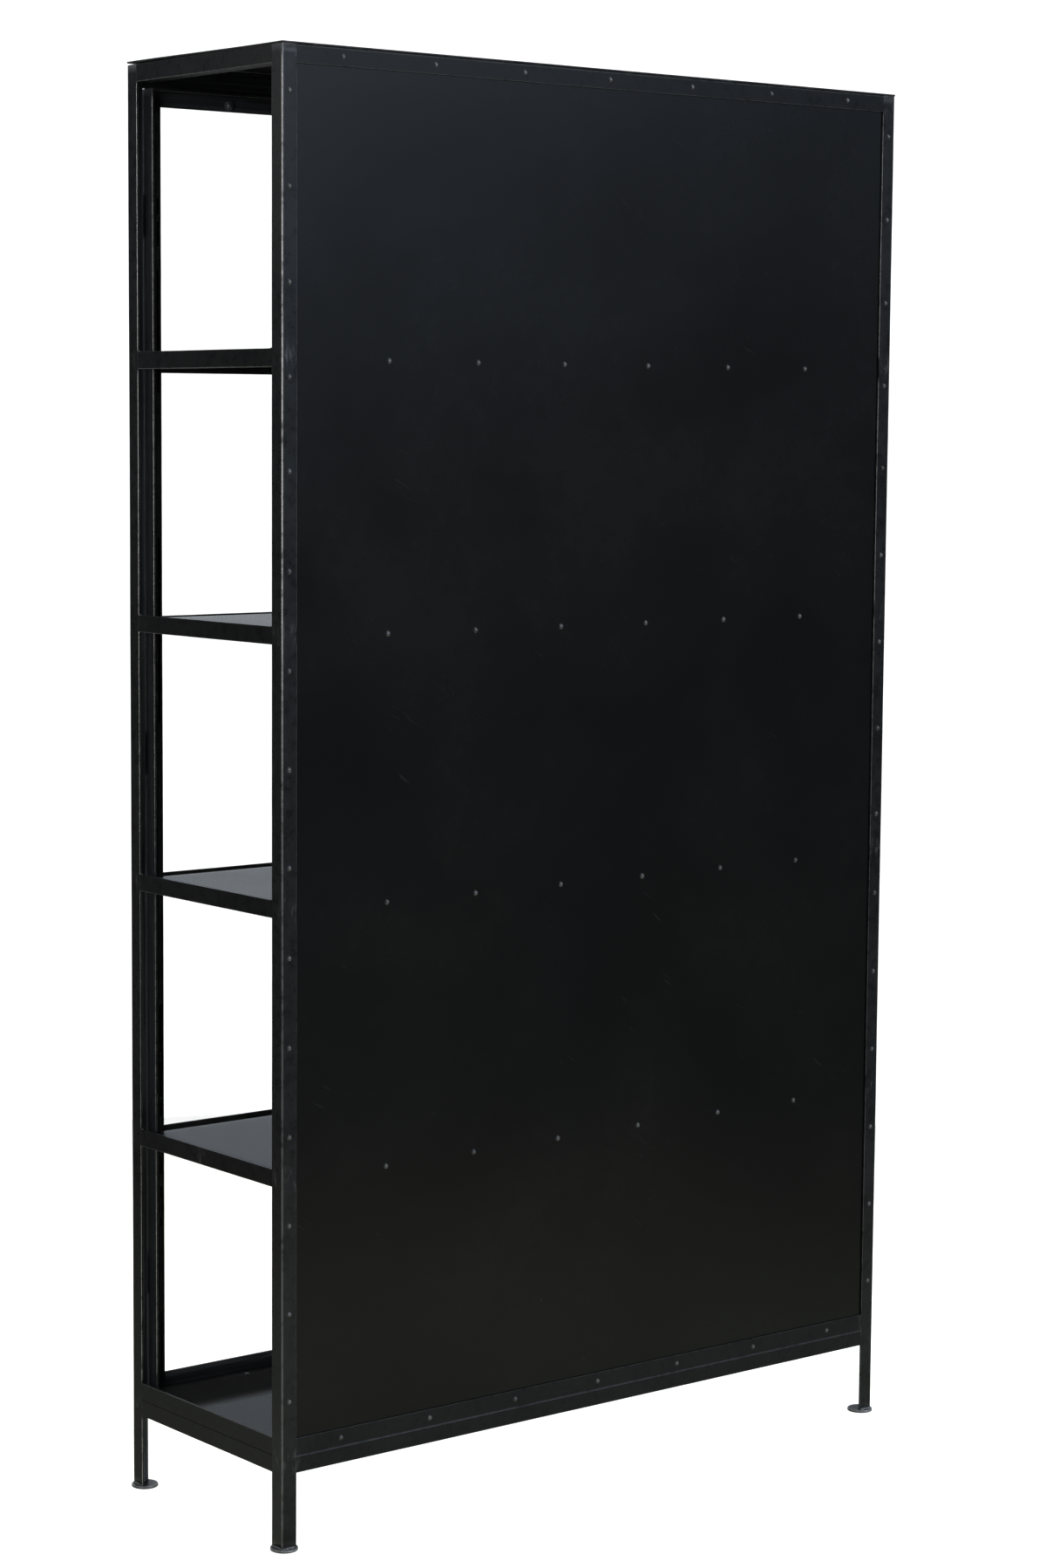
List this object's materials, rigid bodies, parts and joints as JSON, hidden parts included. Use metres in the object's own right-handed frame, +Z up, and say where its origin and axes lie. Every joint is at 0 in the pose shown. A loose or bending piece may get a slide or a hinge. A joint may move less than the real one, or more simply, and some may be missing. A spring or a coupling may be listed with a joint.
{
  "type": "metal display bookcase",
  "caption": "Tall black angle-iron bookcase with open sides, a riveted sheet-metal back, fixed tray shelves, a bottom tray and two inset glazed doors on barrel hinges.",
  "frame": {"origin": "centre of the footprint, knobs and feet included, on the floor", "axes": "+Z up, doors face -Y, +X to the right of someone facing the doors"},
  "size_m": [1.18, 0.4214, 2.1],
  "materials": {
    "black_steel": "worn semi-gloss black lacquer, rubbed bright on the rolled corners",
    "back_sheet": "satin black lacquer on slightly wavy sheet",
    "shelf_sheet": "smooth semi-gloss black lacquer",
    "rivet_steel": "black lacquer rubbed bright on the domes",
    "foot_steel": "black lacquer, worn at the rim",
    "hinge_steel": "satin black",
    "glass": "clear float glass"
  },
  "bodies": {
    "cabinet": {"post_front_left": "black_steel", "post_front_right": "black_steel", "post_rear_left": "black_steel", "post_rear_right": "black_steel", "feet": "foot_steel", "top_rail_front": "black_steel", "top_rail_rear": "black_steel", "top_rail_left": "black_steel", "top_rail_right": "black_steel", "base_rail_front": "black_steel", "base_rail_rear": "black_steel", "base_rail_left": "black_steel", "base_rail_right": "black_steel", "sill_rear": "black_steel", "sill_left": "black_steel", "sill_right": "black_steel", "shelf_rail_left_1": "black_steel", "shelf_rail_left_2": "black_steel", "shelf_rail_left_3": "black_steel", "shelf_rail_left_4": "black_steel", "shelf_rail_right_1": "black_steel", "shelf_rail_right_2": "black_steel", "shelf_rail_right_3": "black_steel", "shelf_rail_right_4": "black_steel", "shelf_1": "shelf_sheet", "shelf_2": "shelf_sheet", "shelf_3": "shelf_sheet", "shelf_4": "shelf_sheet", "bottom_tray": "shelf_sheet", "back_panel": "back_sheet", "top_panel": "black_steel", "frame_rivets": "rivet_steel", "shelf_rivets": "rivet_steel", "hinge_pins": "hinge_steel", "door_stop": "hinge_steel"},
    "left_door": {"left_hinge_stile": "black_steel", "left_meeting_stile": "black_steel", "left_door_top_rail": "black_steel", "left_door_bottom_rail": "black_steel", "left_bar_1": "black_steel", "left_bar_2": "black_steel", "left_bar_3": "black_steel", "left_bar_4": "black_steel", "left_glass": "glass", "left_glass_clips": "rivet_steel", "left_hinge_sleeves": "hinge_steel", "left_knob": "hinge_steel"},
    "right_door": {"right_hinge_stile": "black_steel", "right_meeting_stile": "black_steel", "right_door_top_rail": "black_steel", "right_door_bottom_rail": "black_steel", "right_bar_1": "black_steel", "right_bar_2": "black_steel", "right_bar_3": "black_steel", "right_bar_4": "black_steel", "right_glass": "glass", "right_glass_clips": "rivet_steel", "right_hinge_sleeves": "hinge_steel", "right_knob": "hinge_steel"}
  },
  "joints": [
    {"name": "left_door_hinge", "type": "hinge", "parent": "cabinet", "child": "left_door", "pos_m": [-0.5568, -0.19075, 1.05], "axis": [0, 0, -1], "range_deg": [0, 170]},
    {"name": "right_door_hinge", "type": "hinge", "parent": "cabinet", "child": "right_door", "pos_m": [0.5568, -0.19075, 1.05], "axis": [0, 0, 1], "range_deg": [0, 170]}
  ]
}
